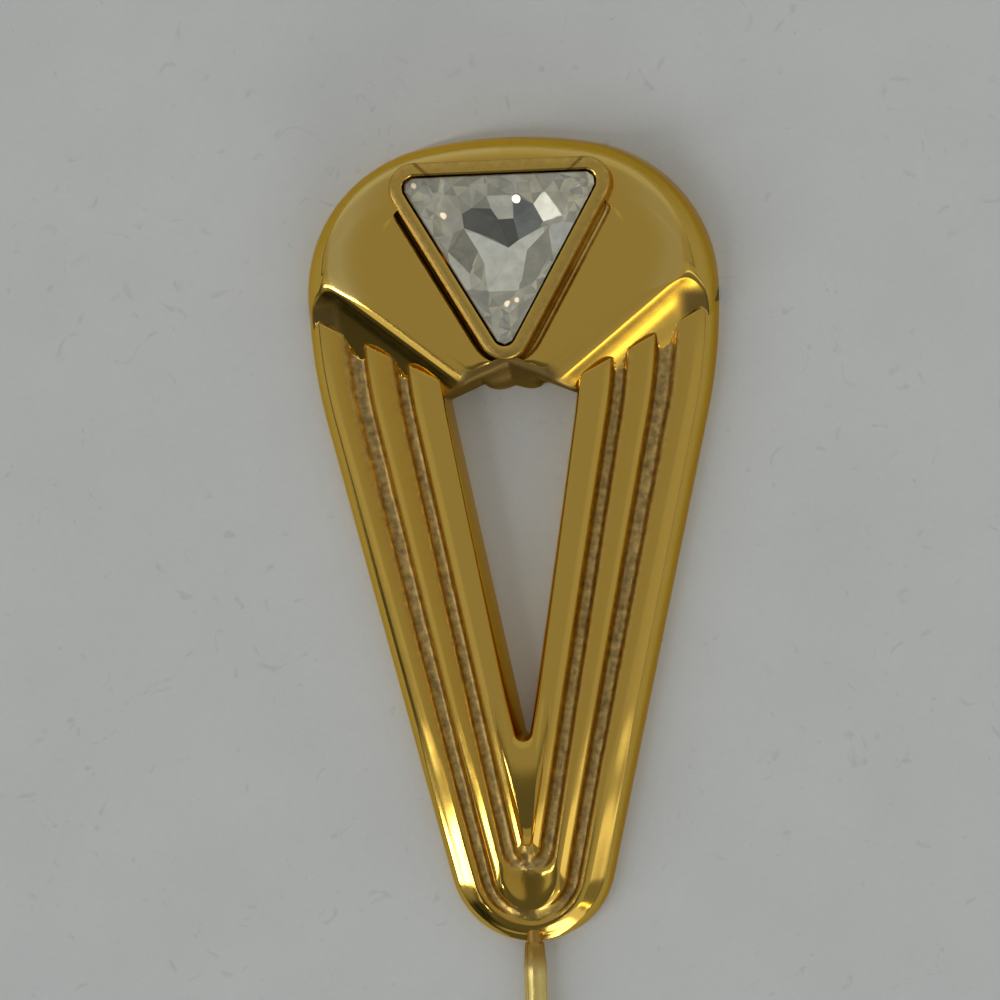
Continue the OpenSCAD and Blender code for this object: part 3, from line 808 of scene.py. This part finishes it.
# The wall behind and those at the sides are a little brighter, and dark things stand along the
# left. On the tip's side the room is dark, and to the right of that dark part the light comes back
low = 0.0 - y
sides = smooth(room.sum("ABSOLUTE", x, 0.0), 0.25, 0.55) * smooth(low, 0.0, 0.10)
wall_light = 0.34 + 0.10 * smooth(y, 0.15, 0.40) + 0.07 * sides
skyline = smooth(0.17 - z, 0.0, 0.08) * (0.30 + 0.50 * smooth(0.0 - x, 0.30, 0.60))
dark = smooth(low, 0.165, 0.215) * smooth(0.03 - x, -0.05, 0.05)
dark = dark * (1.0 - 0.6 * smooth(0.0 - x, 0.75, 0.85))
corner = smooth(x, 0.50, 0.58) * smooth(low, 0.38, 0.46)
deepest = smooth(0.0 - x, 0.52, 0.60) * smooth(low, 0.57, 0.63)
lit = wall_light * (1.0 - 0.68 * dark) * (1.0 - 0.5 * corner) * (1.0 - skyline)
lit = lit * (1.0 - 0.55 * deepest)
aslant = room.sum("ABSOLUTE", y - 1.36 * x - 0.22, 0.0)
streak = smooth(0.09 - aslant, -0.03, 0.03) * pane(-0.64, -0.40, -0.585, -0.30, 0.02, 0.68)
panes = (pane(-0.90, -0.40, -0.185, -0.118, 0.010, 11.0, 0.2) + streak
         + pane(-0.40, -0.36, -0.61, -0.57, 0.01, 20.0)
         + pane(0.0, 0.50, -0.99, -0.76, 0.03, 0.5)
         + pane(0.02, 0.40, -0.999, -0.93, 0.015, 3.5)
         + pane(0.0, 0.06, -0.74, -0.68, 0.012, 2.5)
         + pane(0.66, 0.93, -0.38, -0.31, 0.015, 0.8))
lamp = pane(0.44, 0.60, -0.789, -0.750, 0.006, 3.0)
lamp_colour = lamp.add("ShaderNodeVectorMath", {"operation": "SCALE"},
                       {0: (1.0, 0.84, 0.33), 3: lamp})
room_light = room.add("ShaderNodeVectorMath", {"operation": "ADD"},
                      {0: lit + panes, 1: lamp_colour})
world.node_tree.links.new(room_light.socket, world.node_tree.nodes["Background"].inputs["Color"])

# The camera looks almost straight down, from a little to the right of the pin, and is turned by
# two degrees, so that the pin leans in the picture.
PIXEL = 0.04815 * MM
looked_at = Vector((-0.74, 24.42, 2.2)) * MM
camera_data = bpy.data.cameras.new("camera")
camera_data.sensor_width = 36
distance = 0.30
camera_data.lens = 36 * distance / (1000 * PIXEL)
camera_data.clip_start = 0.01
camera_data.clip_end = 5
camera = bpy.data.objects.new("camera", camera_data)
bpy.context.collection.objects.link(camera)
side = math.radians(7)
camera.location = looked_at + Vector((math.sin(side), 0, math.cos(side))) * distance
look = (looked_at - camera.location).normalized()
up = Vector((math.sin(math.radians(2.05)), math.cos(math.radians(2.05)), 0))
across = look.cross(up).normalized()
up = across.cross(look)
camera.rotation_mode = "QUATERNION"
camera.rotation_quaternion = Matrix((across, up, -look)).transposed().to_quaternion()
scene.camera = camera
